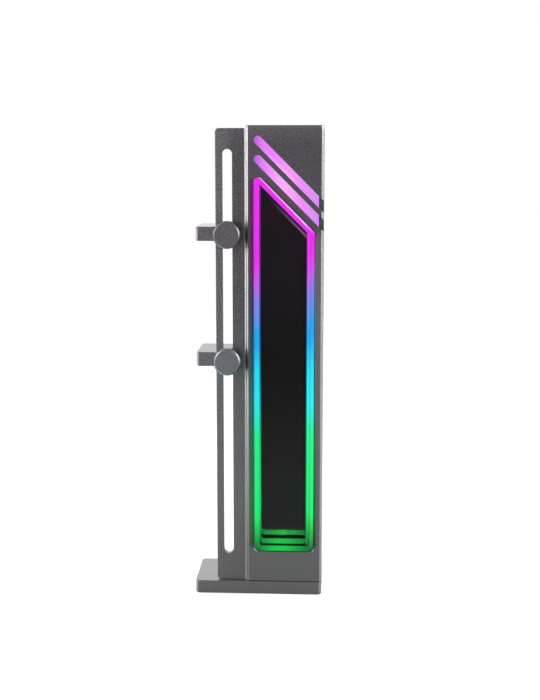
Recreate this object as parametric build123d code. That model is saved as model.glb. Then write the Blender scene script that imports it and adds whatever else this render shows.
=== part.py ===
from build123d import *
import os
from math import sqrt

os.makedirs("parts", exist_ok=True)

# Graphics card support bracket in millimetres.
# X runs to the right, Y to the back and Z up. The origin is the middle of the foot's underside.

# Base plate and what it holds
base_width = 76.0
base_depth = 42.0
base_top = 8.2
base_corner = 1.5
edge_break = 0.3
pad_inset = 1.6
pad_thickness = 1.2
pad_proud = 0.3
pad_radius = 2.5
magnet_diameter = 12.0
magnet_thickness = 3.0
magnet_inset_x = 13.0
magnet_inset_y = 9.5
base_screw_head = 6.4
base_screw_length = 16.0

# Column: an extruded box with a slotted flange on its left
column_width = 45.0
column_depth = 33.0
total_height = 280.0
wall = 2.6
column_corner = 1.25
column_foot_chamfer = 0.6
cap_thickness = 1.6
cap_plug = 2.0
cap_screw_length = 10.0

flange_width = 18.0
flange_thickness = 3.5
flange_setback = 2.2
flange_radius = 2.2
flange_lift = 0.5
flange_root = 0.95

rail_slot_width = 5.75
rail_slot_offset = 10.95
rail_slot_above_base = 16.8
rail_slot_below_top = 13.5

# Screw ports inside the column, and the grooves that hold the rear cover
port_outer = 6.4
port_core = 3.9
port_merge = 0.6
port_opening = 1.4
groove_depth = 1.2
lip_thickness = 0.8
lip_overhang = 1.4
cover_thickness = 1.8

# Window in the front wall, with its top edge falling to the right at 45 degrees
window_margin = 4.5
window_above_base = 18.4
window_apex_below_top = 25.9
window_corner = 3.5
window_apex_radius = 2.6
window_shoulder_radius = 2.0
window_rim = 0.2

# Two light slots above the window, parallel to its top edge
light_slot_width = 4.9
light_slot_web = 3.9
light_slot_pitch = 7.7
light_slot_depth = 4.0
slot_bar_recess = 1.0
slot_bar_end = 0.8
diffuser_thickness = 1.5
diffuser_post = 3.0
slot_board_gap = 4.9
slot_board_inset = 0.5
slot_led_count = 5

# Light module behind the window, from the glass to its back plate
glass_thickness = 2.0
gasket_thickness = 2.0
gasket_reveal = 0.15
gasket_cover = 0.65
module_corner = 0.8
light_frame_depth = 10.1
light_frame_lip = 1.5
light_frame_wall = 1.9
glow_left = 2.3
glow_right = 3.05
glow_diagonal = 3.5
glow_floor_drop = 1.2
glow_corner = 2.0
glow_apex_radius = 0.6
step_width = 2.6
step_depth = 2.0
bezel_thickness = 2.2
mirror_thickness = 2.0
back_plate_thickness = 1.6
strip_board = 0.6
strip_width = 8.0
led_size = 3.5
led_height = 1.4
led_pitch = 16.6

# Controller board behind the back plate
board_width = 21.0
board_height = 50.0
board_above_window = 9.4
board_thickness = 1.6
board_standoff = 2.2
board_screw = 2.0
board_screw_head = 3.6
board_screw_head_height = 1.3
board_screw_bite = 0.6
board_screw_inset = 2.5
chip_size = 7.0
chip_height = 1.0
driver_low = 14.0
driver_size = 4.0
driver_height = 1.2
plug_low = 6.0
plug_width = 6.0
plug_size = 5.0
plug_height = 2.4

# Cable grommet low in the rear cover
grommet_height = 18.0
grommet_hole = 9.0
grommet_flange = 11.5
grommet_bore = 3.6
grommet_lip = 1.0

# Arms, knobs and what clamps them
arm_length = 35.0
arm_height = 8.4
arm_reach = 12.1
arm_corner = 1.3
arm_wall_gap = 0.5
upper_arm_height = 217.4
lower_arm_height = 143.1
stud_diameter = 4.9
stud_in_arm = 10.0
stud_in_knob = 4.3
stud_point = 0.5
stud_hole_spare = 2.0
knob_diameter = 16.0
knob_thickness = 6.4
knob_bevel = 0.9
knob_groove_count = 40
knob_groove_depth = 0.25
washer_diameter = 13.0
washer_thickness = 0.8

# Clearances
slide_gap = 0.1
fit_gap = 0.05
drop_in_gap = 0.2

# Places that follow from the sizes above
base_underside = pad_proud
pad_ceiling = pad_thickness
base_screw_seat = pad_ceiling + magnet_thickness
magnet_x = base_width / 2 - magnet_inset_x
magnet_y = base_depth / 2 - magnet_inset_y
magnet_places = [(sx * magnet_x, sy * magnet_y) for sx in (-1, 1) for sy in (-1, 1)]
column_right = base_width / 2
column_left = column_right - column_width
column_middle = (column_left + column_right) / 2
column_front = -base_depth / 2
column_back = column_front + column_depth
column_top = total_height - cap_thickness
column_screw = port_core - 2 * fit_gap
cap_screw_head = column_screw + 2 * cap_thickness
cavity_left = column_left + wall
cavity_right = column_right - wall
cavity_front = column_front + wall
groove_back = column_back - lip_thickness
groove_front = groove_back - cover_thickness - drop_in_gap
cover_front = groove_front + drop_in_gap / 2
cover_back = cover_front + cover_thickness

flange_front = column_front + flange_setback
flange_back = flange_front + flange_thickness
flange_left = column_left - flange_width
rail_slot_x = column_left - rail_slot_offset
rail_slot_low = base_top + rail_slot_above_base
rail_slot_high = total_height - rail_slot_below_top

window_left = column_left + window_margin
window_right = column_right - window_margin
window_bottom = base_top + window_above_base
window_apex = total_height - window_apex_below_top
window_sum = window_left + window_apex
light_slot_first = window_sum + (light_slot_web + light_slot_width / 2) * sqrt(2)
light_slot_sums = [light_slot_first, light_slot_first + light_slot_pitch * sqrt(2)]

module_gap = drop_in_gap
module_side = window_margin - wall - module_gap
glass_back = cavity_front + glass_thickness
gasket_back = glass_back + gasket_thickness
lip_back = gasket_back + light_frame_lip
light_frame_back = gasket_back + light_frame_depth
bezel_back = light_frame_back + bezel_thickness
mirror_back = bezel_back + mirror_thickness
back_plate_back = mirror_back + back_plate_thickness
strip_space = strip_board + led_height + module_gap
module_drop = glow_floor_drop + light_frame_wall + strip_space
module_rise = light_frame_wall + strip_space - glow_diagonal

port_y = back_plate_back + module_gap + port_outer / 2
port_inset = port_outer / 2 - port_merge
port_places = [(cavity_left + port_inset, port_y), (cavity_right - port_inset, port_y)]

arm_front = flange_back + slide_gap
washer_back = flange_front - slide_gap
knob_back = washer_back - washer_thickness
knob_front = knob_back - knob_thickness
arm_left = flange_left - arm_reach
arm_right = column_left - arm_wall_gap


def block(x0, x1, y0, y1, z0, z1):
    """A box between two opposite corners."""
    middle = Pos((x0 + x1) / 2, (y0 + y1) / 2, (z0 + z1) / 2)
    return middle * Box(x1 - x0, y1 - y0, z1 - z0)


def plate(outline, front, thickness):
    """An outline drawn in X and Z, extruded backwards from the plane y = front."""
    return extrude(Plane.XZ.offset(-front) * outline, amount=-thickness)


def rod_y(x, z, y0, y1, diameter):
    """A round rod along Y."""
    return plate(Pos(x, z) * Circle(diameter / 2), y0, y1 - y0)


def rod_z(x, y, z0, z1, diameter):
    """A round rod along Z."""
    return Pos(x, y, (z0 + z1) / 2) * Cylinder(diameter / 2, z1 - z0)


def rounded_corner(outline, corner, radius):
    """Round the corner of a flat outline that lies nearest to a point."""
    nearest = outline.vertices().sort_by_distance((*corner, 0))[0]
    return fillet(nearest, radius)


def window_shape(left, right, bottom, diagonal, low_radius, shoulder_radius, apex_radius):
    """The window's four-sided outline with each side moved outwards by its own distance."""
    x0 = window_left - left
    x1 = window_right + right
    z0 = window_bottom - bottom
    total = window_sum + diagonal * sqrt(2)
    corners = [(x0, z0), (x1, z0), (x1, total - x1), (x0, total - x0)]
    radii = [low_radius, low_radius, shoulder_radius, apex_radius]
    outline = make_face(Polyline(*corners, close=True))
    for corner, radius in zip(corners, radii):
        outline = rounded_corner(outline, corner, radius)
    return outline


def glow_shape():
    """The opening that the light frame leaves: what shows dark inside the band of light."""
    return window_shape(-glow_left, -glow_right, glow_floor_drop, -glow_diagonal,
                        glow_corner, glow_corner, glow_apex_radius)


def module_shape():
    """The outline that the layers of the light module share inside the column."""
    return window_shape(module_side, module_side, module_drop, module_rise,
                        module_corner, module_corner, module_corner)


def light_slot_shape(total, width):
    """A slanted slot, round at its left end and running out past the column's right side."""
    start_x = window_left + light_slot_width / 2
    run = (column_right + wall - start_x) * sqrt(2)
    bar = Pos(start_x, total - start_x) * Rot(0, 0, -45) * Pos(run / 2, 0) * Rectangle(run, width)
    return bar + Pos(start_x, total - start_x) * Circle(width / 2)


def socket_cut(head_diameter):
    """Across-flats radius and depth of the key socket that suits a screw head."""
    return head_diameter * 0.2, head_diameter * 0.2


def countersunk_screw(diameter, head_diameter, length):
    """A flat-headed screw standing on its tip side down, its head's face at z = 0."""
    head_height = (head_diameter - diameter) / 2
    profile = Polyline((0, 0), (head_diameter / 2, 0), (diameter / 2, -head_height),
                       (diameter / 2, -length), (0, -length), close=True)
    screw = revolve(Plane.XZ * make_face(profile), Axis.Z)
    radius, depth = socket_cut(head_diameter)
    return screw - extrude(RegularPolygon(radius, 6, major_radius=False), amount=-depth)


def pan_screw(diameter, head_diameter, head_height, length):
    """A round-headed screw pointing down, with the seat of its head at z = 0."""
    screw = Pos(0, 0, head_height / 2) * Cylinder(head_diameter / 2, head_height)
    screw = chamfer(screw.edges().group_by(Axis.Z)[-1], head_height * 0.2)
    screw += Pos(0, 0, -length / 2) * Cylinder(diameter / 2, length)
    radius, depth = socket_cut(head_diameter)
    key = extrude(RegularPolygon(radius, 6, major_radius=False), amount=depth)
    return screw - Pos(0, 0, head_height - depth) * key


# Base group
def make_base_plate():
    outline = Rectangle(base_width, base_depth)
    outline = chamfer(outline.vertices(), base_corner)
    body = Pos(0, 0, base_underside) * extrude(outline, amount=base_top - base_underside)
    body = chamfer(body.edges().group_by(Axis.Z)[0], edge_break * 2)
    plug_front = cavity_front + drop_in_gap
    plug_back = port_y - port_outer / 2 - drop_in_gap
    plug = block(cavity_left + drop_in_gap, cavity_right - drop_in_gap, plug_front, plug_back,
                 base_top, base_top + cap_plug)
    body += plug
    recess = Rectangle(base_width - 2 * pad_inset, base_depth - 2 * pad_inset)
    recess = fillet(recess.vertices(), pad_radius)
    body -= extrude(recess, amount=pad_ceiling)
    for x, y in magnet_places:
        body -= rod_z(x, y, 0, pad_ceiling + magnet_thickness, magnet_diameter + drop_in_gap)
    for x, y in port_places:
        body -= rod_z(x, y, 0, base_screw_seat, base_screw_head + 2 * drop_in_gap)
        body -= rod_z(x, y, 0, base_top + cap_plug, column_screw + 2 * drop_in_gap)
    return body


def make_base_pad():
    inset = pad_inset + slide_gap
    outline = Rectangle(base_width - 2 * inset, base_depth - 2 * inset)
    return extrude(fillet(outline.vertices(), pad_radius - slide_gap), amount=pad_thickness)


def make_magnet(x, y):
    return rod_z(x, y, pad_ceiling, pad_ceiling + magnet_thickness, magnet_diameter)


def make_base_screws():
    head_height = magnet_thickness - drop_in_gap
    screw = pan_screw(column_screw, base_screw_head, head_height, base_screw_length)
    screw = Rot(180, 0, 0) * screw
    return [Pos(x, y, base_screw_seat) * screw for x, y in port_places]


# Column group
def column_outline():
    outline = Rectangle(column_width, column_depth)
    outline = Pos(column_middle, (column_front + column_back) / 2) * outline
    return chamfer(outline.vertices(), column_corner)


def column_section():
    """The extruded section of the box: walls, rear grooves and the two screw ports."""
    cavity = Rectangle(cavity_right - cavity_left, groove_back - cavity_front)
    section = column_outline() - Pos(column_middle, (groove_back + cavity_front) / 2) * cavity
    groove = Rectangle(cavity_right - cavity_left + 2 * groove_depth, groove_back - groove_front)
    section -= Pos(column_middle, (groove_back + groove_front) / 2) * groove
    mouth_width = cavity_right - cavity_left - 2 * lip_overhang
    section -= Pos(column_middle, column_back) * Rectangle(mouth_width, 2 * lip_thickness)
    for x, y in port_places:
        inward = 1 if x < column_middle else -1
        section += Pos(x, y) * Circle(port_outer / 2)
        section -= Pos(x, y) * Circle(port_core / 2)
        opening = Rectangle(port_outer / 2, port_opening)
        section -= Pos(x + inward * port_outer / 4, y) * opening
    return section


def make_flange():
    """The slotted rail, set back from the column's face and hollowed into its side."""
    height = column_top - base_top - flange_lift
    low = base_top + flange_lift
    sheet = Rectangle(flange_width, height)
    sheet = Pos((flange_left + column_left) / 2, low + height / 2) * sheet
    for z in (low, column_top):
        sheet = rounded_corner(sheet, (flange_left, z), flange_radius)
    sheet_solid = plate(sheet, flange_front, flange_thickness)
    front_edges = sheet_solid.edges().group_by(Axis.Y)[0]
    front_edges = [edge for edge in front_edges if edge.center().X < column_left - edge_break]
    sheet_solid = chamfer(front_edges, edge_break)
    corner_x = column_left - flange_root
    corner_y = flange_front - flange_root
    root = Rectangle(flange_root, flange_root)
    root = Pos(corner_x + flange_root / 2, corner_y + flange_root / 2) * root
    root -= Pos(corner_x, corner_y) * Circle(flange_root)
    sheet_solid += Pos(0, 0, low) * extrude(root, amount=height)
    slot_height = rail_slot_high - rail_slot_low
    slot = Pos(rail_slot_x, (rail_slot_high + rail_slot_low) / 2) * Rot(0, 0, 90)
    slot *= SlotOverall(slot_height, rail_slot_width)
    return sheet_solid - plate(slot, flange_front, flange_thickness)


def make_column():
    body = Pos(0, 0, base_top) * extrude(column_section(), amount=column_top - base_top)
    window = window_shape(0, 0, 0, 0, window_corner, window_shoulder_radius, window_apex_radius)
    body -= plate(window, column_front, wall)
    front_edges = body.edges().filter_by_position(Axis.Y, column_front, column_front)
    rim = [edge for edge in front_edges
           if abs(edge.center().X - column_middle) < column_width / 2 - column_corner - edge_break
           and base_top + edge_break < edge.center().Z < column_top - edge_break]
    body = chamfer(rim, window_rim)
    foot = [edge for edge in body.edges().group_by(Axis.Z)[0]
            if edge.center().Y < column_front + column_corner]
    body = chamfer(foot, column_foot_chamfer)
    for total in light_slot_sums:
        body -= plate(light_slot_shape(total, light_slot_width), column_front, light_slot_depth)
    return body + make_flange()


def make_top_cap():
    body = Pos(0, 0, column_top) * extrude(column_outline(), amount=cap_thickness)
    body = chamfer(body.edges().group_by(Axis.Z)[-1], edge_break)
    plug_back = port_y - port_outer / 2 - drop_in_gap
    body += block(cavity_left + drop_in_gap, cavity_right - drop_in_gap, cavity_front + drop_in_gap,
                  plug_back, column_top - cap_plug, column_top)
    for x, y in port_places:
        body -= Pos(x, y, total_height) * countersunk_hole(cap_thickness)
    return body


def countersunk_hole(depth):
    """The seat of a flat-headed cap screw, open at its top face at z = 0."""
    profile = Polyline((0, 0), (cap_screw_head / 2 + fit_gap, 0),
                       (column_screw / 2 + fit_gap, -depth), (0, -depth), close=True)
    return revolve(Plane.XZ * make_face(profile), Axis.Z)


def make_cap_screws():
    screw = countersunk_screw(column_screw, cap_screw_head, cap_screw_length)
    return [Pos(x, y, total_height) * screw for x, y in port_places]


def make_rear_cover():
    side = groove_depth - drop_in_gap
    body = block(cavity_left - side, cavity_right + side, cover_front, cover_back,
                 base_top, column_top - drop_in_gap)
    return body - rod_y(column_middle, grommet_height, cover_front, cover_back, grommet_hole)


def make_grommet():
    """A rubber ring whose groove grips the edge of the cover's hole."""
    hole = grommet_hole / 2
    flange = grommet_flange / 2
    bore = grommet_bore / 2
    front = cover_front - grommet_lip
    back = cover_back + grommet_lip
    profile = Polyline((bore, front), (flange, front), (flange, cover_front), (hole, cover_front),
                       (hole, cover_back), (flange, cover_back), (flange - grommet_lip / 2, back),
                       (bore, back), close=True)
    ring = revolve(make_face(profile), Axis.Y)
    return Pos(column_middle, 0, grommet_height) * ring


# Light module group
def make_front_glass():
    return plate(module_shape(), cavity_front, glass_thickness)


def make_front_gasket():
    """A gasket that shows at the window's right, and is level with the light frame at its floor."""
    opening = window_shape(gasket_reveal, -gasket_cover, glow_floor_drop, gasket_reveal,
                           window_corner, window_shoulder_radius, window_apex_radius)
    return plate(module_shape() - opening, glass_back, gasket_thickness)


def make_light_frame():
    """A milky frame: a front lip over the LED strips, a wall behind it and a step on the right."""
    opening = glow_shape()
    lip = plate(module_shape() - opening, gasket_back, light_frame_lip)
    grown = light_frame_wall
    outer = window_shape(grown - glow_left, grown - glow_right, grown + glow_floor_drop,
                         grown - glow_diagonal, glow_corner, glow_corner, glow_apex_radius)
    body = lip + plate(outer - opening, lip_back, light_frame_back - lip_back)
    step_left = window_right - glow_right - step_width
    reach = Pos((step_left + column_right) / 2, column_top / 2)
    reach *= Rectangle(column_right - step_left, column_top)
    return body + plate(opening & reach, light_frame_back - step_depth, step_depth)


def make_mirror_bezel():
    opening = window_shape(-glow_left, -glow_right - step_width, glow_floor_drop, -glow_diagonal,
                           glow_corner, glow_corner, glow_apex_radius)
    return plate(module_shape() - opening, light_frame_back, bezel_thickness)


def make_rear_mirror():
    return plate(module_shape(), bezel_back, mirror_thickness)


board_low_x = column_middle - board_width / 2
board_low = window_bottom + board_above_window
board_front = back_plate_back + board_standoff
board_back = board_front + board_thickness
board_screw_places = [(board_low_x + sx, board_low + sz)
                      for sx in (board_screw_inset, board_width - board_screw_inset)
                      for sz in (board_screw_inset, board_height - board_screw_inset)]


def make_back_plate():
    body = plate(module_shape(), mirror_back, back_plate_thickness)
    for x, z in board_screw_places:
        body += rod_y(x, z, back_plate_back, board_front, 2 * board_screw)
        body -= rod_y(x, z, back_plate_back - board_screw_bite, board_front, board_screw)
    return body


def led_strip(length, count):
    """A strip along X with its board at y = 0 upwards in Z and its lamps facing +Z."""
    strip = Pos(0, 0, strip_board / 2) * Box(length, strip_width, strip_board)
    lamp = Box(led_size, led_size, led_height)
    first = -(count - 1) * led_pitch / 2
    for number in range(count):
        strip += Pos(first + number * led_pitch, 0, strip_board + led_height / 2) * lamp
    return strip


strip_y = (lip_back + light_frame_back) / 2


def upright_strip(x, facing, low, high):
    """An LED strip on a side wall of the module, its lamps facing the light frame."""
    length = high - low
    count = int((length - led_size) / led_pitch) + 1
    return Pos(x, strip_y, (low + high) / 2) * Rot(0, facing * 90, 0) * led_strip(length, count)


def make_left_strip():
    x = window_left - module_side
    return upright_strip(x, 1, window_bottom, window_sum - window_left - 2 * strip_width)


def make_right_strip():
    x = window_right + module_side
    return upright_strip(x, -1, window_bottom, window_sum - window_right - strip_space)


def make_bottom_strip():
    length = window_right - window_left - 2 * strip_space
    z = window_bottom - module_drop
    return Pos(column_middle, strip_y, z) * led_strip(length, 2)


def make_diagonal_strip():
    """The strip over the window's slanted edge, its lamps facing down to the left."""
    total = window_sum + module_rise * sqrt(2)
    middle_x = column_middle + strip_space / 2
    length = (window_right - window_left) * 1.1
    turn = Rot(0, 45, 0) * Rot(180, 0, 0)
    return Pos(middle_x, strip_y, total - middle_x) * turn * led_strip(length, 2)


# Light slots group
diffuser_low_sum = window_sum + (module_rise + module_gap) * sqrt(2)
diffuser_top = column_top - cap_plug - module_gap
diffuser_back = cavity_front + diffuser_thickness
slot_board_front = diffuser_back + slot_board_gap
post_places = [(cavity_left + diffuser_post, diffuser_top - diffuser_post),
               (cavity_right - diffuser_post, diffuser_top - diffuser_post),
               (cavity_right - diffuser_post, diffuser_low_sum - cavity_right + 3 * diffuser_post)]


def slot_panel_shape(inset):
    """The five-sided region above the window that the slot lights fill."""
    x0 = window_left - module_side + inset
    x1 = window_right + module_side - inset
    total = diffuser_low_sum + inset * sqrt(2)
    return make_face(Polyline((x0, total - x0), (x1, total - x1), (x1, diffuser_top - inset),
                              (x0, diffuser_top - inset), close=True))


def make_slot_diffuser():
    """A milky plate with a raised bar in each slanted slot and posts for its board."""
    body = plate(slot_panel_shape(0), cavity_front, diffuser_thickness)
    bar_end = cavity_right - slot_bar_end
    keep = Pos((window_left + bar_end) / 2 - wall, total_height / 2)
    keep *= Rectangle(bar_end - window_left + 2 * wall, total_height)
    bar_front = column_front + slot_bar_recess
    for total in light_slot_sums:
        bar = light_slot_shape(total, light_slot_width - 2 * slide_gap) & keep
        body += plate(bar, bar_front, cavity_front - bar_front)
    for x, z in post_places:
        body += rod_y(x, z, diffuser_back, slot_board_front, diffuser_post)
    return body


def make_slot_board():
    """A circuit board with one row of lamps behind each slanted slot."""
    body = plate(slot_panel_shape(slot_board_inset), slot_board_front, board_thickness)
    run = (cavity_right - cavity_left) - 4 * led_size
    for total in light_slot_sums:
        for number in range(slot_led_count):
            x = cavity_left + 2 * led_size + run * number / (slot_led_count - 1)
            lamp = Pos(x, total - x) * Rot(0, 0, -45) * Rectangle(led_size, led_size)
            body += plate(lamp, slot_board_front - led_height, led_height)
    return body


# Controller group
def make_controller_board():
    """A board with its chip, two driver packages and the two plugs of the LED strips."""
    body = block(board_low_x, board_low_x + board_width, board_front, board_back,
                 board_low, board_low + board_height)
    chip_z = board_low + board_height / 2
    body += block(column_middle - chip_size / 2, column_middle + chip_size / 2,
                  board_back, board_back + chip_height, chip_z, chip_z + chip_size)
    driver_z = board_low + driver_low
    for x in (column_middle - chip_size, column_middle + chip_size / 2):
        body += block(x, x + chip_size / 2, board_back, board_back + driver_height,
                      driver_z, driver_z + driver_size)
    plug_z = board_low + plug_low
    for x in (column_middle - chip_size, column_middle):
        body += block(x, x + plug_width, board_back, board_back + plug_height,
                      plug_z, plug_z + plug_size)
    for x, z in board_screw_places:
        body -= rod_y(x, z, board_front, board_back, board_screw + 2 * slide_gap)
    return body


def make_board_screws():
    length = board_thickness + board_standoff
    screw = Rot(-90, 0, 0) * pan_screw(board_screw - 2 * fit_gap, board_screw_head,
                                       board_screw_head_height, length)
    return [Pos(x, board_back, z) * screw for x, z in board_screw_places]


# Arm groups
def make_arm(height):
    middle = (arm_left + arm_right) / 2
    outline = Pos(middle, arm_front + arm_length / 2) * Rectangle(arm_right - arm_left, arm_length)
    outline = chamfer(outline.vertices().sort_by(Axis.X)[:2], arm_corner)
    body = Pos(0, 0, height - arm_height / 2) * extrude(outline, amount=arm_height)
    rims = body.edges().group_by(Axis.Z)
    body = chamfer(list(rims[0]) + list(rims[-1]), edge_break)
    hole = stud_diameter + 2 * fit_gap
    hole_end = arm_front + stud_in_arm + stud_hole_spare
    return body - rod_y(rail_slot_x, height, arm_front, hole_end, hole)


def make_knob(height):
    """A turned knob with a bevelled face and a fluted rim, bored for its stud."""
    disc = Cylinder(knob_diameter / 2, knob_thickness)
    disc = chamfer(disc.edges().group_by(Axis.Z)[-1], knob_bevel)
    disc = chamfer(disc.edges().group_by(Axis.Z)[0], edge_break)
    disc -= Pos(0, 0, (stud_in_knob - knob_thickness) / 2) * Cylinder(stud_diameter / 2, stud_in_knob)
    band = knob_thickness - 2 * knob_bevel
    flute = Pos(0, 0, -band / 2 - edge_break) * extrude(
        RegularPolygon(2 * knob_groove_depth, 4), amount=band)
    radius = knob_diameter / 2 + knob_groove_depth
    disc -= [place * flute for place in PolarLocations(radius, knob_groove_count)]
    return Pos(rail_slot_x, (knob_front + knob_back) / 2, height) * Rot(90, 0, 0) * disc


def make_stud(height):
    front = knob_back - stud_in_knob
    back = arm_front + stud_in_arm
    stud = rod_y(rail_slot_x, height, front, back, stud_diameter)
    return chamfer(stud.edges().group_by(Axis.Y)[-1], stud_point)


def make_washer(height):
    ring = rod_y(rail_slot_x, height, knob_back, washer_back, washer_diameter)
    return ring - rod_y(rail_slot_x, height, knob_back, washer_back, stud_diameter + 2 * drop_in_gap)


nodes = {
    "base_plate": make_base_plate(),
    "base_pad": make_base_pad(),
    "base_screws": make_base_screws(),
    "column": make_column(),
    "top_cap": make_top_cap(),
    "cap_screws": make_cap_screws(),
    "rear_cover": make_rear_cover(),
    "cable_grommet": make_grommet(),
    "front_glass": make_front_glass(),
    "front_gasket": make_front_gasket(),
    "light_frame": make_light_frame(),
    "mirror_bezel": make_mirror_bezel(),
    "rear_mirror": make_rear_mirror(),
    "back_plate": make_back_plate(),
    "led_strip_left": make_left_strip(),
    "led_strip_right": make_right_strip(),
    "led_strip_bottom": make_bottom_strip(),
    "led_strip_diagonal": make_diagonal_strip(),
    "slot_diffuser": make_slot_diffuser(),
    "slot_board": make_slot_board(),
    "controller_board": make_controller_board(),
    "board_screws": make_board_screws(),
}
for number, (x, y) in enumerate(magnet_places, start=1):
    nodes[f"magnet_{number}"] = make_magnet(x, y)
for side, height in (("upper", upper_arm_height), ("lower", lower_arm_height)):
    nodes[f"{side}_arm"] = make_arm(height)
    nodes[f"{side}_knob"] = make_knob(height)
    nodes[f"{side}_stud"] = make_stud(height)
    nodes[f"{side}_washer"] = make_washer(height)

for node, shape in nodes.items():
    shape = Compound(children=shape) if isinstance(shape, list) else shape
    export_step(shape, f"parts/{node}.step")
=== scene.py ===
# %% [markdown]
# # A lit support bracket for a graphics card
# This bracket stands on the floor of a computer case. A gunmetal column carries a slotted rail on
# its left, and two arms slide on the rail under round knobs. Behind the column's window is an
# infinity mirror: a frame of coloured light between a smoked half mirror and a full one.
# The CAD model already holds every rigid piece at its real size. So the script loads it first as
# a fixed frame, gives each piece its finish, and adds the studio round it.

# %% Load the fixed frame
import math
import bmesh
import bpy
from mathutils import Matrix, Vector


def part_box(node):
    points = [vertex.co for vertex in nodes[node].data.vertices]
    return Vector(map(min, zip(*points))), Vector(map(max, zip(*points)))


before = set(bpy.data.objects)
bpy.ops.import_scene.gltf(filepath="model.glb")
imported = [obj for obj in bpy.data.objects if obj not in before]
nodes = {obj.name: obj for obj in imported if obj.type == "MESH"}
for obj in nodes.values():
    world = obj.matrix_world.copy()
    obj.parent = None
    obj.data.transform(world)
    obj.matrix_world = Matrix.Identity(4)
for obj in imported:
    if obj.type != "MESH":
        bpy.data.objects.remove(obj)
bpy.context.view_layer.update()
print("pieces in the frame:", len(nodes))

# %% [markdown]
# ## Camera
# A camera is a place, a direction and a lens. The photograph was taken from a little right of the
# bracket and near the height of its top, with a long lens, because upright edges hardly lean.
# Fitting a pinhole camera to the edges of the bracket in the photograph gives the place, the two
# angles and the focal length below. The focal length is in pixels, so the lens in millimetres
# follows from the picture's width.

# %% Camera
picture_width = 540
focal_pixels = 1283.8
camera_place = Vector((0.04596, -0.76425, 0.26892))
yaw, pitch = -0.05234, -0.15860

camera_data = bpy.data.cameras.new("camera")
camera_data.sensor_fit = "HORIZONTAL"
camera_data.sensor_width = 36.0
camera_data.lens = camera_data.sensor_width * focal_pixels / picture_width
camera_data.clip_start = 0.01
camera = bpy.data.objects.new("camera", camera_data)
bpy.context.scene.collection.objects.link(camera)
look = Vector((math.sin(yaw) * math.cos(pitch), math.cos(yaw) * math.cos(pitch), math.sin(pitch)))
camera.location = camera_place
camera.rotation_euler = look.to_track_quat("-Z", "Y").to_euler()
bpy.context.scene.camera = camera
bpy.context.scene.view_settings.view_transform = "Standard"
print("lens in mm:", round(camera_data.lens, 1))

# %% [markdown]
# ## Writing materials as sums
# A material is a graph of nodes, and long graphs are hard to read as code. Two small classes keep
# it short. `Wire` wraps a node's output, so that `1 - mask` or `grain * 0.2` adds the Math node
# that does it. Most of this bracket's details are masks: numbers from 0 to 1 that say where
# something is. `over` and `band` make them from a coordinate, with soft edges.

# %% Wires
class Wire:
    """The output of a node, which can be used in sums."""

    def __init__(self, finish, socket):
        self.finish = finish
        self.socket = socket

    def maths(self, operation, left, right):
        return self.finish.node("Math", {"operation": operation}, {0: left, 1: right})

    def __add__(self, other):
        return self.maths("ADD", self, other)

    def __sub__(self, other):
        return self.maths("SUBTRACT", self, other)

    def __mul__(self, other):
        return self.maths("MULTIPLY", self, other)

    def __rsub__(self, other):
        return self.maths("SUBTRACT", other, self)

    __radd__ = __add__
    __rmul__ = __mul__

    def or_more(self, other):
        """The larger of two values."""
        return self.maths("MAXIMUM", self, other)

    def root(self):
        return self.maths("SQRT", self, 0.0)

    def sine(self):
        return self.maths("SINE", self, 0.0)

    def over(self, low, high):
        """0 below low, 1 above high and a smooth rise between them."""
        return self.finish.node("MapRange", {"interpolation_type": "SMOOTHSTEP"},
                                {"Value": self, "From Min": low, "From Max": high})

    def band(self, start, full, fading, end):
        """A smooth rise from start to full, and a smooth fall from fading to end."""
        return self.over(start, full) * (1 - self.over(fading, end))


print("wires can be added, subtracted and multiplied")

# %% [markdown]
# `Finish` owns one material. Its `node` method makes any node from its type, its settings and
# what goes into its sockets. The other methods are short names for the nodes that come up again
# and again: a coordinate, a noise, a mix of two colours and a bump.

# %% Finishes
class Finish:
    """One material and the nodes in it."""

    def __init__(self, name, tree=None):
        self.material = None
        if tree is None:
            self.material = bpy.data.materials.new(name)
            self.material.use_nodes = True
            tree = self.material.node_tree
        self.tree = tree
        tree.nodes.clear()

    def node(self, kind, settings=None, inputs=None, output=0):
        made = self.tree.nodes.new("ShaderNode" + kind)
        for name, value in (settings or {}).items():
            if name == "stops":
                while len(made.color_ramp.elements) < len(value):
                    made.color_ramp.elements.new(1.0)
                for element, (place, colour) in zip(made.color_ramp.elements, value):
                    element.position = place
                    element.color = (*colour, 1.0)
            else:
                setattr(made, name, value)
        for key, value in (inputs or {}).items():
            if isinstance(value, Wire):
                self.tree.links.new(value.socket, made.inputs[key])
            elif hasattr(value, "__len__") and len(value) == 3 and made.inputs[key].type == "RGBA":
                made.inputs[key].default_value = (*value, 1.0)
            else:
                made.inputs[key].default_value = value
        return Wire(self, made.outputs[output]) if made.outputs else None

    def place(self, axis):
        """One coordinate of the surface point, in metres."""
        point = self.node("TexCoord", output="Object")
        return self.node("SeparateXYZ", inputs={0: point}, output=axis)

    def noise(self, size, detail=2.0, rough=0.5, stretch=None):
        """Smooth random values from 0 to 1, with features about as large as size, in metres."""
        point = self.node("TexCoord", output="Object")
        if stretch:
            point = self.node("Mapping", inputs={"Vector": point, "Scale": stretch})
        return self.node("TexNoise", inputs={"Vector": point, "Scale": 1.0 / size,
                                             "Detail": detail, "Roughness": rough})

    def mix(self, amount, first, second):
        """A colour between two, by an amount from 0 to 1."""
        return self.node("Mix", {"data_type": "RGBA"}, {0: amount, 6: first, 7: second}, output=2)

    def bump(self, height, distance):
        return self.node("Bump", inputs={"Height": height, "Distance": distance, "Strength": 1.0})

    def done(self, shader):
        self.node("OutputMaterial", inputs={0: shader})
        return self.material


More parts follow.
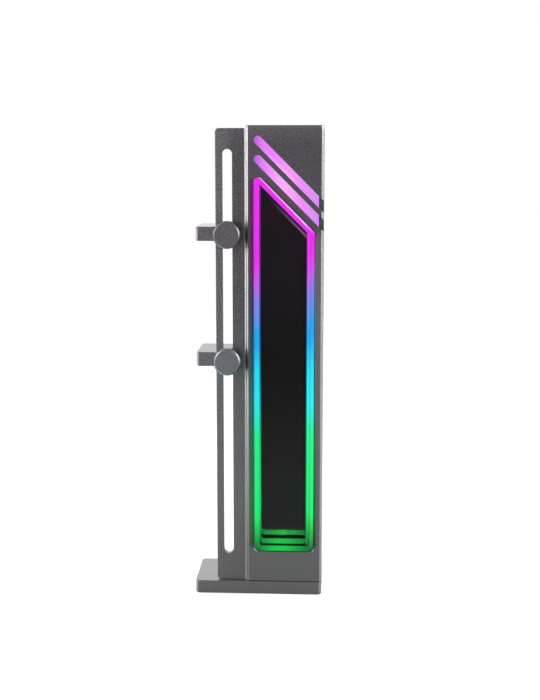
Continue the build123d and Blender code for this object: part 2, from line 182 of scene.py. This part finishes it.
def dress(material, *names):
    """Give a material to CAD nodes by name."""
    for name in names:
        nodes[name].data.materials.clear()
        nodes[name].data.materials.append(material)
    print(material.name, "on", ", ".join(names))


# %% [markdown]
# ## Places on the bracket
# The masks follow the bracket's own edges, so the script measures them once. The top cap has the
# outline of the column without its rail. The window lies inside that outline by a margin, and its
# top edge falls to the right at 45 degrees, so along that edge X + Z stays the same. `near` gives
# places a little before and after an edge, which are where a mask starts and ends.

# %% Places
column_low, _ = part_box("column")
cap_low, cap_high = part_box("top_cap")
face_left, face_front = cap_low.x, column_low.y
foot_top = column_low.z

window_margin, window_above_foot, apex_below_top = 0.0045, 0.0184, 0.0259
window_left, window_right = cap_low.x + window_margin, cap_high.x - window_margin
window_bottom, window_apex = foot_top + window_above_foot, cap_high.z - apex_below_top
window_sum = window_left + window_apex

black, white = (0.0, 0.0, 0.0), (1.0, 1.0, 1.0)
highlight_metal = (0.90, 0.90, 0.91)


def near(place, *offsets):
    """Places at small distances from one."""
    return tuple(place + offset for offset in offsets)


right_wall = near(window_right, -0.0035, -0.0025)
print("window from", round(window_bottom, 4), "to", round(window_apex, 4), "m up")

# %% [markdown]
# ## The run of colours
# The light round the window changes with height. It is green at the foot, cyan a little below the
# middle, then blue, and magenta over the top quarter. Every colour comes a little higher towards
# the right, and blue and magenta come higher still on the right wall. A colour ramp over the
# height gives the run. The light frame uses it for what it emits, and the metal for the painted
# spill of that light on it.

# %% Colour run
run_low, run_high = 0.025, 0.205
run_slant = 0.04
right_lag, right_lag_heights = 0.0085, (0.13, 0.18)
run_stops = [
    (0.00, (0.004, 0.12, 0.03)), (0.07, (0.008, 0.55, 0.08)), (0.12, (0.011, 0.84, 0.17)),
    (0.39, (0.012, 0.86, 0.27)), (0.50, (0.013, 0.82, 0.83)), (0.61, (0.013, 0.70, 0.88)),
    (0.70, (0.008, 0.38, 0.82)), (0.745, (0.012, 0.35, 0.83)), (0.85, (0.25, 0.20, 0.83)),
    (0.93, (0.66, 0.07, 0.83)), (0.98, (0.80, 0.027, 0.84))]


def colour_run(finish):
    """The colour of the window's light at a point."""
    across, height = finish.place("X"), finish.place("Z")
    on_right = across.over(*right_wall) * height.over(*right_lag_heights)
    height = height - (across - window_left) * run_slant - on_right * right_lag
    return finish.node("ValToRGB", {"stops": run_stops},
                       {0: (height - run_low) * (1.0 / (run_high - run_low))})


print("the colours run from", run_low, "to", run_high, "m up")

# %% [markdown]
# ## Gunmetal
# The column, foot, arms and knobs are metal under a satin, sand-textured coat. Seen close, it has
# fine grains that glint one by one. A flat grey would look like plastic, so the grain drives
# three things at once: the colour of each grain, its roughness and a shallow bump. Two sizes of
# noise, one at the grain's scale and one over centimetres, keep large faces from looking printed.
# The grain reads most near the top, where the light rakes it, and its contrast is painted to grow
# with height: painted raking light. The metal is a little darker there, a painted shade. The front
# half of the bracket takes a trace of the window's colours, a painted spill of their light.

# %% Gunmetal
grain_size, cloud_size, grain_depth = 0.0007, 0.03, 0.000012
grain_share = 0.8
grain_edges, speck_edges = (0.38, 0.62), (0.60, 0.72)
speck_colour = (0.68, 0.68, 0.70)
grain_roughness, speck_gloss = 0.12, 0.1
painted_rake_heights, least_painted_rake = (0.04, 0.22), 0.4
painted_shade_heights, dimming = (0.05, 0.22), 0.18
front_half, painted_spill_share = (-0.0150, 0.0), 0.035


def painted_window_spill(finish):
    """How much painted spill of the window's light a point takes: a trace in front, none behind.
    """
    return (1 - finish.place("Y").over(*front_half)) * painted_spill_share


def gunmetal(name, colour, rough, contrast, own_light=None):
    """The coat of one piece; own_light adds what only that piece has to its colour."""
    finish = Finish(name)
    height = finish.place("Z")
    grain = finish.noise(grain_size, rough=0.7)
    cloud = finish.noise(cloud_size, detail=3.0)
    speck = grain.over(*speck_edges)
    # Painted raking light: the grain's contrast and its pale specks grow with height.
    painted_rake = height.over(*painted_rake_heights) * (1 - least_painted_rake) + least_painted_rake
    shade = grain.over(*grain_edges) * grain_share + cloud * (1 - grain_share)
    shade = (shade - 0.5) * painted_rake + 0.5
    base = finish.mix(shade, tuple(c * (1 - contrast) for c in colour),
                      tuple(c * (1 + contrast) for c in colour))
    base = finish.mix(speck * painted_rake * contrast, base, speck_colour)
    # Painted spill: a trace of the window's light colours the front half.
    base = finish.mix(painted_window_spill(finish), base, colour_run(finish))
    # Painted shade: the metal is darker towards the top.
    base = finish.mix(height.over(*painted_shade_heights) * dimming, base, black)
    if own_light:
        base = own_light(finish, base)
    shader = finish.node("BsdfPrincipled", inputs={
        "Base Color": base, "Metallic": 1.0,
        "Roughness": rough + grain * grain_roughness - speck * speck_gloss,
        "Normal": finish.bump(grain, grain_depth)})
    return finish.done(shader)


dress(gunmetal("gunmetal_cap", (0.42, 0.42, 0.43), rough=0.40, contrast=0.36),
      "top_cap", "rear_cover")

# %% [markdown]
# ## Arms and foot
# The tops of the arms are nearly white in the photograph, and the upper one most, so an arm's
# upward faces get a painted highlight. A surface's normal tells which faces those are. The foot's
# top would be too bright, so it gets painted shade. Its front stays as it is, and a mask on the
# height parts them.

# %% Arms and foot
upward_slopes, arm_heights = (0.7, 0.9), (0.15, 0.21)
low_arm_highlight, high_arm_highlight = 0.10, 0.30
foot_edge, foot_top_painted_shade = near(foot_top, -0.0003, -0.0001), 0.20


def painted_top_light(finish, base):
    # Painted highlight: upward faces are paler, most on the upper arm.
    normal = finish.node("NewGeometry", output="Normal")
    upwards = finish.node("SeparateXYZ", inputs={0: normal}, output="Z").over(*upward_slopes)
    gain = finish.place("Z").over(*arm_heights) * high_arm_highlight + low_arm_highlight
    return finish.mix(upwards * gain, base, highlight_metal)


def painted_top_shade(finish, base):
    # Painted shade: the foot's top is darker than its front.
    return finish.mix(finish.place("Z").over(*foot_edge) * foot_top_painted_shade, base, black)


dress(gunmetal("gunmetal_arm", (0.41, 0.41, 0.42), rough=0.42, contrast=0.36,
               own_light=painted_top_light), "upper_arm", "lower_arm")
dress(gunmetal("gunmetal_foot", (0.45, 0.45, 0.46), rough=0.40, contrast=0.24,
               own_light=painted_top_shade), "base_plate")

# %% [markdown]
# ## Light on the column
# The window lights the metal beside it, which shows as a coloured halo. Real bounces would give
# it, but slowly and with noise, so it is painted light: a mask that is 1 at the window's edge and
# falls to 0 with the distance from it. The halo is narrower on the right and along the slanted
# edge. The flat rim right of the window gets a painted highlight in its upper part, as in the
# photograph.

# %% Halo and rim
halo_reach, halo_strength, halo_darkening = 0.006, 0.9, 0.45
right_steepness, slant_steepness = 2.4, 1.8
halo_foot = near(window_bottom, 0.0006, 0.0054)
halo_top = near(window_apex, -0.0066, -0.0036)
on_face = near(face_front, 0.0001, 0.0005)

rim_edge, rim_highlight_gain = near(window_right, -0.0005, 0.0002), 0.34
rim_heights, rim_top = (0.05, 0.19), (0.214, 0.222)


def beside_window(finish):
    """1 at the window's edge, and falling to 0 at the halo's reach."""
    across, height = finish.place("X"), finish.place("Z")
    outside = ((across - window_right) * right_steepness).or_more(window_left - across)
    outside = outside.or_more((across + height - window_sum) * slant_steepness)
    closeness = 1 - outside.over(0.0, halo_reach)
    return closeness * closeness * height.band(*halo_foot, *halo_top)


def halo_and_rim(finish, base):
    across, height = finish.place("X"), finish.place("Z")
    front = 1 - finish.place("Y").over(*on_face)
    # Painted light: the window's colours, darkened, as a halo beside it.
    painted_halo_colour = finish.mix(halo_darkening, colour_run(finish), black)
    base = finish.mix(beside_window(finish) * front * halo_strength, base, painted_halo_colour)
    # Painted highlight on the flat rim right of the window, in its upper part.
    rim = across.over(*rim_edge) * height.band(*rim_heights, *rim_top)
    return finish.mix(rim * front * rim_highlight_gain, base, highlight_metal)


print("the halo reaches", halo_reach, "m from the window")

# %% [markdown]
# ## The column's left edge
# Where the rail leaves the column there is a small hollow, and next to it the column's bevelled
# corner. Both catch the light as bright upright lines, and a painted highlight adds to each, with
# a fine line of painted shade between them. Each is a band across X. The column's left side lies
# at the X of the dark line, so the painted shade darkens it too. From the rail's inner half to
# the right side, the metal also gets painted shade towards the top, and less at the very top.

# %% Lines and column
shaded_from, shading = near(face_left, -0.0130, -0.0065), 0.28
shading_heights, shading_end, shading_fade = (0.04, 0.22), (0.268, 0.280), 0.7
root_line, root_highlight_gain = near(face_left, -0.0013, -0.0009, -0.0001, 0.0001), 0.5
bevel_line, bevel_highlight_gain = near(face_left, 0.0001, 0.0003, 0.0011, 0.0013), 0.38
bevel_heights = (0.0, 0.15)
shade_line, shade_line_gain = near(face_left, -0.0003, -0.0001, 0.0002, 0.0004), 0.7


def column_light(finish, base):
    base = halo_and_rim(finish, base)
    across, height = finish.place("X"), finish.place("Z")
    # Painted shade: darker towards the top from the rail's inner half on, less at the very top.
    shaded = across.over(*shaded_from) * height.over(*shading_heights)
    shaded = shaded * (1 - height.over(*shading_end) * shading_fade)
    base = finish.mix(shaded * shading, base, black)
    # Painted highlights: bright upright lines on the rail's root and the column's bevel.
    bevel = across.band(*bevel_line) * height.over(*bevel_heights)
    base = finish.mix(across.band(*root_line) * root_highlight_gain + bevel * bevel_highlight_gain, base, highlight_metal)
    # Painted shade: the fine dark line between them, which also darkens the column's left side.
    return finish.mix(across.band(*shade_line) * shade_line_gain, base, black)


dress(gunmetal("gunmetal_column", (0.415, 0.415, 0.425), rough=0.40, contrast=0.42,
               own_light=column_light), "column")

# %% [markdown]
# ## Knobs
# The knobs are turned on a lathe before they are coated, so their faces carry very fine rings
# and the bevel shines. Rings are a wave of the distance from the knob's own axis, and each knob
# stands at its own height, so each gets a material centred on itself. The upper knob gets painted
# shade, so it is a little darker, as in the photograph. The bevel meets the light of both soft
# boxes, so it gets painted shade, most at its sides, or they would be white. Each knob also takes
# twice the metal's painted spill of the window's light.

# %% Knobs
knob_dark, knob_light = (0.37, 0.37, 0.38), (0.56, 0.56, 0.57)
knob_grain, knob_grain_edges = 0.0006, (0.35, 0.65)
knob_roughness, knob_painted_spill_gain = 0.34, 2.0
ring_waves, ring_depth, ring_share = 9000.0, 0.000008, 0.5
upper_knob_heights, upper_knob_painted_shade = (0.15, 0.20), 0.28
bevel_width, bevel_painted_shade = 0.0006, 0.1
side_reach, side_painted_shade = (0.45, 0.8), 0.65


def knob_metal(name, node):
    low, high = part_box(node)
    middle = (low + high) / 2
    radius = (high.x - low.x) / 2
    finish = Finish(name)
    across, height = finish.place("X") - middle.x, finish.place("Z")
    up = height - middle.z
    reach = (across * across + up * up).root()
    rings = (reach * ring_waves).sine()
    grain = finish.noise(knob_grain, rough=0.7)
    base = finish.mix(grain.over(*knob_grain_edges), knob_dark, knob_light)
    # Painted spill: the knobs take twice the metal's trace of the window's light.
    base = finish.mix(painted_window_spill(finish) * knob_painted_spill_gain, base, colour_run(finish))
    # Painted shade: the upper knob is a little darker.
    base = finish.mix(height.over(*upper_knob_heights) * upper_knob_painted_shade, base, black)
    # Painted shade on the bevel, most at its sides.
    sideways = (across * across).over(*((radius * part) ** 2 for part in side_reach))
    bevel = reach.over(*near(radius - bevel_width, -0.0001, 0.0001))
    base = finish.mix(bevel * (sideways * side_painted_shade + bevel_painted_shade), base, black)
    shader = finish.node("BsdfPrincipled", inputs={
        "Base Color": base, "Metallic": 1.0, "Roughness": grain * 0.10 + knob_roughness,
        "Normal": finish.bump(rings * ring_share + grain, ring_depth)})
    return finish.done(shader)


for node in ("upper_knob", "lower_knob"):
    dress(knob_metal("gunmetal_" + node, node), node)

# %% [markdown]
# ## Rubber, screws, magnets and washers
# The foot has a rubber pad that stops it sliding, and four magnets above the pad. The screws are
# zinc plated and the washers are black nylon. None of them takes much of the picture from the
# front, but the back and the underside show them, so each has its own grain and gloss.

# %% Small finishes
def plain_finish(name, colour, spread, metallic, rough, grain_size, grain_depth, gloss=0.5):
    """A finish with one grain that varies its colour, roughness and bump a little."""
    finish = Finish(name)
    grain = finish.noise(grain_size, detail=3.0)
    base = finish.mix(grain, tuple(c * (1 - spread) for c in colour),
                      tuple(c * (1 + spread) for c in colour))
    shader = finish.node("BsdfPrincipled", inputs={
        "Base Color": base, "Metallic": metallic, "Roughness": rough + grain * 0.12 - 0.06,
        "Specular IOR Level": gloss, "Normal": finish.bump(grain, grain_depth)})
    return finish.done(shader)


rubber = plain_finish("rubber", (0.022, 0.022, 0.023), spread=0.3, metallic=0.0, rough=0.72,
                      grain_size=0.0004, grain_depth=0.00002)
zinc = plain_finish("zinc_plate", (0.42, 0.42, 0.44), spread=0.2, metallic=1.0, rough=0.28,
                    grain_size=0.0006, grain_depth=0.000006)
nickel = plain_finish("nickel_plate", (0.62, 0.61, 0.60), spread=0.1, metallic=1.0, rough=0.16,
                      grain_size=0.0008, grain_depth=0.000003)
nylon = plain_finish("black_nylon", (0.03, 0.03, 0.031), spread=0.25, metallic=0.0, rough=0.5,
                     grain_size=0.0005, grain_depth=0.00001)
black_plastic = plain_finish("black_plastic", (0.022, 0.022, 0.023), spread=0.3, metallic=0.0,
                             rough=0.8, grain_size=0.0004, grain_depth=0.00001, gloss=0.1)
dress(rubber, "base_pad", "cable_grommet")
dress(zinc, "base_screws", "cap_screws", "board_screws", "upper_stud", "lower_stud")
dress(nickel, "magnet_1", "magnet_2", "magnet_3", "magnet_4")
dress(nylon, "upper_washer", "lower_washer")
dress(black_plastic, "front_gasket", "mirror_bezel", "back_plate")

# %% [markdown]
# ## The light frame
# LED strips light a milky frame from its edges. Its front lip and inner walls glow in the run of
# colours. The right wall's light is a touch paler low down, and the floor's light is brightest in
# its middle and dim at its ends. The slanted part has a painted highlight, a pale pink line along
# its upper edge. The frame is seen through a smoked mirror that passes a fifth of its light, so it
# is five times as strong as it looks.

# %% Light frame
smoke = 0.2
frame_low, frame_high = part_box("light_frame")
glow = Finish("light_guide")
across, depth, height = glow.place("X"), glow.place("Y"), glow.place("Z")

paling_heights, paling = (0.14, 0.19), 0.022
low_right = across.over(*right_wall) * (1 - height.over(*paling_heights))
lit = glow.mix(low_right * paling, colour_run(glow), white)

# Painted highlight: a pale pink line along the slanted part's upper edge.
line_slope, line_edges, line_heights = 1.02, (0.2500, 0.2508), (0.217, 0.224)
pale_pink, highlight_paling = (1.0, 0.62, 1.0), 0.8
painted_highlight_line = (across * line_slope + height).over(*line_edges) * height.over(*line_heights)
lit = glow.mix(painted_highlight_line * highlight_paling, lit, pale_pink)

floor_dark, floor_bright = (0.002, 0.09, 0.020), (0.006, 0.54, 0.060)
floor_hump, floor_level = (-0.005, 0.012, 0.012, 0.033), near(window_bottom, -0.0010, -0.0007)
floor_light = glow.mix(across.band(*floor_hump), floor_dark, floor_bright)
lit = glow.mix(1 - height.over(*floor_level), lit, floor_light)
print("light frame from", round(frame_low.z, 4), "to", round(frame_high.z, 4), "m up")

# %% [markdown]
# ## The step in the frame
# The frame's right wall has a step at its back, close to the mirror. A fine line of painted shade
# parts the step from the wall and turns under the step's lower end. It is drawn as a thin shell
# round a rectangle with a rounded corner: the distance outside that shape is near 0 on its
# outline. The step's own front edge gets painted shade too. The milky plastic is grey where it
# doesn't shine, and painted darker on the right wall, a painted shade.

# %% Step and wall
wall_inset, step_width = 0.00305, 0.0026
step_left = window_right - wall_inset - step_width
line_right, line_bottom = window_right - 0.0036, window_bottom + 0.0003
line_radius, line_width = 0.0018, 0.0007
line_fade_heights, line_fade, step_line_shade = (0.034, 0.075), 0.55, 0.92
step_edge_heights = (0.028, 0.034)
# Painted shade: a fine dark line round the step.
sideways = (across - (line_right - line_radius)).or_more(0.0)
downwards = ((line_bottom + line_radius) - height).or_more(0.0)
outside = (sideways * sideways + downwards * downwards).root() - line_radius
line = outside.band(-0.0002, 0.0001, line_width, line_width + 0.0003)

at_back = depth.over(*near(frame_high.y, -0.0023, -0.0021))
on_step = at_back * across.over(*near(step_left, -0.00035, -0.00005))
line = line * on_step * (1 - height.over(*line_fade_heights) * line_fade)
lit = glow.mix(line * step_line_shade, lit, black)
# Painted shade on the step's front edge.
step_edge = at_back * across.band(*near(step_left, -0.00065, -0.00025, 0.00005, 0.00095))
lit = glow.mix(step_edge * height.over(*step_edge_heights), lit, black)

milk_size, milk_dark, milk_light = 0.004, (0.22, 0.23, 0.24), (0.28, 0.29, 0.30)
right_milk_shade = (0.08, 0.08, 0.09)
wall = glow.mix(glow.noise(milk_size), milk_dark, milk_light)
# Painted shade: the right wall's plastic is darker.
wall = glow.mix(across.over(*right_wall), wall, right_milk_shade)
guide = glow.node("BsdfPrincipled", inputs={
    "Base Color": wall, "Roughness": 0.5,
    "Emission Color": lit, "Emission Strength": 1.0 / smoke, "Specular IOR Level": 0.2})
dress(glow.done(guide), "light_frame")

# %% [markdown]
# ## The half mirror
# Light bounces between the full mirror at the back and the half mirror in front, and each round
# trip makes a further, deeper row of lights. It could be painted, but two real mirrors in their
# real places draw every row where it belongs, from any side. The front one is a slab of smoked
# glass. Its outer face lets a fifth of the light through, and its inner face lets all of it
# through. Low down, the outer face also throws back what comes from within, which gives the two
# bars above the foot of the window. Higher up the photograph shows plain black, so there the
# glass isn't silvered.

# %% Half mirror
_, glass_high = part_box("front_glass")
silver_end, smoke_glow_heights = (0.0300, 0.0308), (0.13, 0.22)
low_smoke, high_smoke_glow = (0.009, 0.009, 0.009), (0.018, 0.013, 0.017)
front_silver, smudge_size = (0.90, 0.91, 0.92), 0.02
half = Finish("half_mirror")
inner_face = half.place("Y").over(*near(glass_high.y, -0.0004, -0.0002))
low_down = 1 - half.place("Z").over(*silver_end)
silvered = half.node("NewGeometry", output="Backfacing") * low_down
smudge = half.noise(smudge_size, detail=3.0)
# Painted glow: higher up the smoke is a little paler and mauve.
smoked = half.mix(half.place("Z").over(*smoke_glow_heights), low_smoke, high_smoke_glow)
glass = half.node("BsdfPrincipled", inputs={
    "Base Color": half.mix(silvered, smoked, front_silver),
    "Metallic": silvered, "Roughness": smudge * 0.02 + 0.01,
    "Alpha": (1 - inner_face) * (1 - smoke), "Specular IOR Level": 0.12})
dress(half.done(glass), "front_glass")

# %% [markdown]
# ## The full mirror
# The mirror at the back is bright only low down, because the photograph shows plain black higher
# up. A fine haze keeps it from being perfect. Along its slanted edge it glows with a painted
# streak of grey-mauve light.

# %% Full mirror
full = Finish("mirror")
bright_silver, dim_silver, haze_grey = (0.96, 0.97, 0.98), (0.22, 0.22, 0.23), (0.5, 0.5, 0.5)
dimming_heights, haze_size, haze_strength = (0.03, 0.15), 0.03, 0.08
painted_streak_line, painted_streak_ends = near(window_sum, -0.0101, -0.0092, -0.0082, -0.0073), (0.003, 0.026)
painted_streak_mauve = (0.15, 0.07, 0.16)
haze = full.noise(haze_size)
tint = full.mix(full.place("Z").over(*dimming_heights), bright_silver, dim_silver)
# Painted light: a grey-mauve streak along the slanted edge.
painted_streak = (full.place("X") + full.place("Z")).band(*painted_streak_line) * full.place("X").over(*painted_streak_ends)
silver = full.node("BsdfPrincipled", inputs={
    "Base Color": full.mix(haze * haze_strength, tint, haze_grey), "Metallic": 1.0,
    "Roughness": haze * 0.01, "Emission Strength": 1.0 / smoke,
    "Emission Color": full.mix(painted_streak, black, painted_streak_mauve)})
dress(full.done(silver), "rear_mirror")

# %% [markdown]
# ## Light slots
# Two slanted slots above the window show milky bars lit from behind. They are pink in the middle
# and violet at both ends, and the lower bar is palest in its middle. The bars lie across the
# column, so the run follows X. Between the bars X + Z has one value, which tells them apart.

# %% Light slots
bar_low, bar_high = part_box("slot_diffuser")
bar_stops = [
    (0.00, (0.34, 0.08, 0.60)), (0.08, (0.48, 0.12, 0.68)), (0.18, (0.74, 0.18, 0.90)),
    (0.35, (0.80, 0.20, 0.93)), (0.58, (0.93, 0.29, 0.92)), (0.75, (0.80, 0.25, 0.91)),
    (1.00, (0.64, 0.24, 0.83))]
between_bars, bar_middle = (0.2700, 0.2704), (0.15, 0.45, 0.45, 0.75)
middle_pink, middle_paling = (0.95, 0.62, 0.93), 0.4
slots = Finish("slot_light")
along = (slots.place("X") - bar_low.x) * (1.0 / (bar_high.x - bar_low.x))
tint = slots.node("ValToRGB", {"stops": bar_stops}, {0: along})
lower_bar = 1 - (slots.place("X") + slots.place("Z")).over(*between_bars)
tint = slots.mix(lower_bar * along.band(*bar_middle) * middle_paling, tint, middle_pink)
bar = slots.node("BsdfPrincipled", inputs={
    "Base Color": (0.06, 0.04, 0.07), "Roughness": 0.4,
    "Emission Color": tint, "Emission Strength": 1.0})
dress(slots.done(bar), "slot_diffuser")

# %% [markdown]
# ## Boards inside
# The LED strips are white, and the controller board is green. They are closed in, and only an
# opened model shows them. A board still has a weave under its lacquer, which a fine noise drawn
# out upwards gives.

# %% Boards
thread_size, thread_depth, thread_shade = 0.0006, 0.000006, 0.85
upward_stretch = (1.0, 1.0, 0.4)


def board(name, colour, rough):
    finish = Finish(name)
    weave = finish.noise(thread_size, detail=1.0, stretch=upward_stretch)
    base = finish.mix(weave, tuple(c * thread_shade for c in colour), colour)
    shader = finish.node("BsdfPrincipled", inputs={
        "Base Color": base, "Roughness": rough + weave * 0.1,
        "Normal": finish.bump(weave, thread_depth)})
    return finish.done(shader)


dress(board("white_board", (0.80, 0.80, 0.76), rough=0.35), "led_strip_left",
      "led_strip_right", "led_strip_bottom", "led_strip_diagonal", "slot_board")
dress(board("green_board", (0.03, 0.20, 0.09), rough=0.3), "controller_board")

# %% [markdown]
# ## Floor and dark card
# The photograph has a plain white background and a bracket whose front is dark, while its top,
# its edges and the foot's top are bright. So the light comes from the sides, above and behind,
# and the side of the camera is dim. The floor is white paper with a glow that the camera sees in
# full, and mirrors and glass in part. A dark card lies in front of the bracket and to its right.
# Only reflections see it.

# %% Floor and dark card
def sheet_at(name, x0, x1, y0, y1, z):
    form = bmesh.new()
    bmesh.ops.create_grid(form, x_segments=1, y_segments=1, size=0.5)
    bmesh.ops.scale(form, verts=form.verts, vec=(x1 - x0, y1 - y0, 1.0))
    bmesh.ops.translate(form, verts=form.verts, vec=((x0 + x1) / 2, (y0 + y1) / 2, z))
    data = bpy.data.meshes.new(name)
    form.to_mesh(data)
    form.free()
    made = bpy.data.objects.new(name, data)
    bpy.context.scene.collection.objects.link(made)
    print(name, "of", round(x1 - x0, 2), "by", round(y1 - y0, 2), "m")
    return made


floor_reach = 4.0
card_left, card_back, card_level = -0.35, -0.0195, 0.0002
paper_white, felt_grey = (0.80, 0.80, 0.80), (0.28, 0.28, 0.28)
paper_glow, mirrored_glow = 0.62, 0.6

floor = sheet_at("floor", -floor_reach, floor_reach, -floor_reach, floor_reach, 0.0)
pale = Finish("pale_floor")
ray = pale.node("LightPath", output="Is Camera Ray")
mirrored = pale.node("LightPath", output="Is Glossy Ray")
through = pale.node("LightPath", output="Is Transmission Ray")
seen = ray + (mirrored + through) * (1 - ray) * mirrored_glow
paper = pale.node("BsdfDiffuse", inputs={"Color": paper_white})
lift = pale.node("Emission", inputs={"Color": white, "Strength": seen * paper_glow})
floor.data.materials.append(pale.done(pale.node("AddShader", inputs={0: paper, 1: lift})))

# Painted shade for reflections: the card darkens only what the bracket's faces mirror.
card = sheet_at("dark_card", card_left, floor_reach, -floor_reach, card_back, card_level)
card.visible_camera = card.visible_shadow = card.visible_diffuse = False
felt = Finish("felt")
card.data.materials.append(felt.done(felt.node("BsdfDiffuse", inputs={"Color": felt_grey})))

# %% [markdown]
# ## World
# The world is the light that comes from everywhere. The camera sees it plain white. For the
# bracket it is a wide, soft dome that is bright behind and dims towards the front, and also
# upwards, so that the faces turned to the camera stay dark.

# %% World
dome_edges, dome_tilt = (-0.80, 0.35), 0.45
dome_gain, dome_least = 0.82, 0.21
world = bpy.data.worlds.new("studio")
bpy.context.scene.world = world
world.use_nodes = True
sky = Finish("studio", world.node_tree)
direction = sky.node("TexCoord", output="Generated")
backwards = sky.node("SeparateXYZ", inputs={0: direction}, output="Y")
upwards = sky.node("SeparateXYZ", inputs={0: direction}, output="Z")
dome = (backwards - upwards * dome_tilt).over(*dome_edges) * dome_gain + dome_least
to_camera = sky.node("LightPath", output="Is Camera Ray")
backdrop = sky.node("Background", inputs={
    "Color": white, "Strength": to_camera + (1 - to_camera) * dome})
sky.node("OutputWorld", inputs={0: backdrop})
print("the dome goes from", dome_least, "in front to", round(dome_least + dome_gain, 2), "behind")

# %% [markdown]
# ## Soft boxes
# One large soft box stands on each side, a little in front of the bracket and above it, and a
# weaker one stands behind it, higher up. They draw the bright lines down the column's bevelled
# corners, brightest near the top, and painted highlights on the column's left edge add to them.

# %% Soft boxes
def soft_box(name, place, target, size, power):
    data = bpy.data.lights.new(name, "AREA")
    data.shape = "RECTANGLE"
    data.size, data.size_y = size
    data.energy = power
    made = bpy.data.objects.new(name, data)
    bpy.context.scene.collection.objects.link(made)
    made.location = place
    made.rotation_euler = (Vector(target) - Vector(place)).to_track_quat("-Z", "Y").to_euler()
    made.visible_camera = False
    print(name, "gives", power, "W")
    return made


soft_box("soft_left", place=(-0.75, -0.26, 0.42), target=(0.0, 0.0, 0.16),
         size=(0.50, 0.60), power=4.6)
soft_box("soft_right", place=(0.80, -0.20, 0.42), target=(0.0, 0.0, 0.16),
         size=(0.45, 0.60), power=4.6)
soft_box("soft_back", place=(0.0, 0.80, 0.75), target=(0.0, 0.0, 0.15),
         size=(0.7, 0.5), power=0.8)

# %% [markdown]
# ## Finish
# The finishes and the studio change no piece's size.

# %% Finish
print("the bracket is dressed and lit")
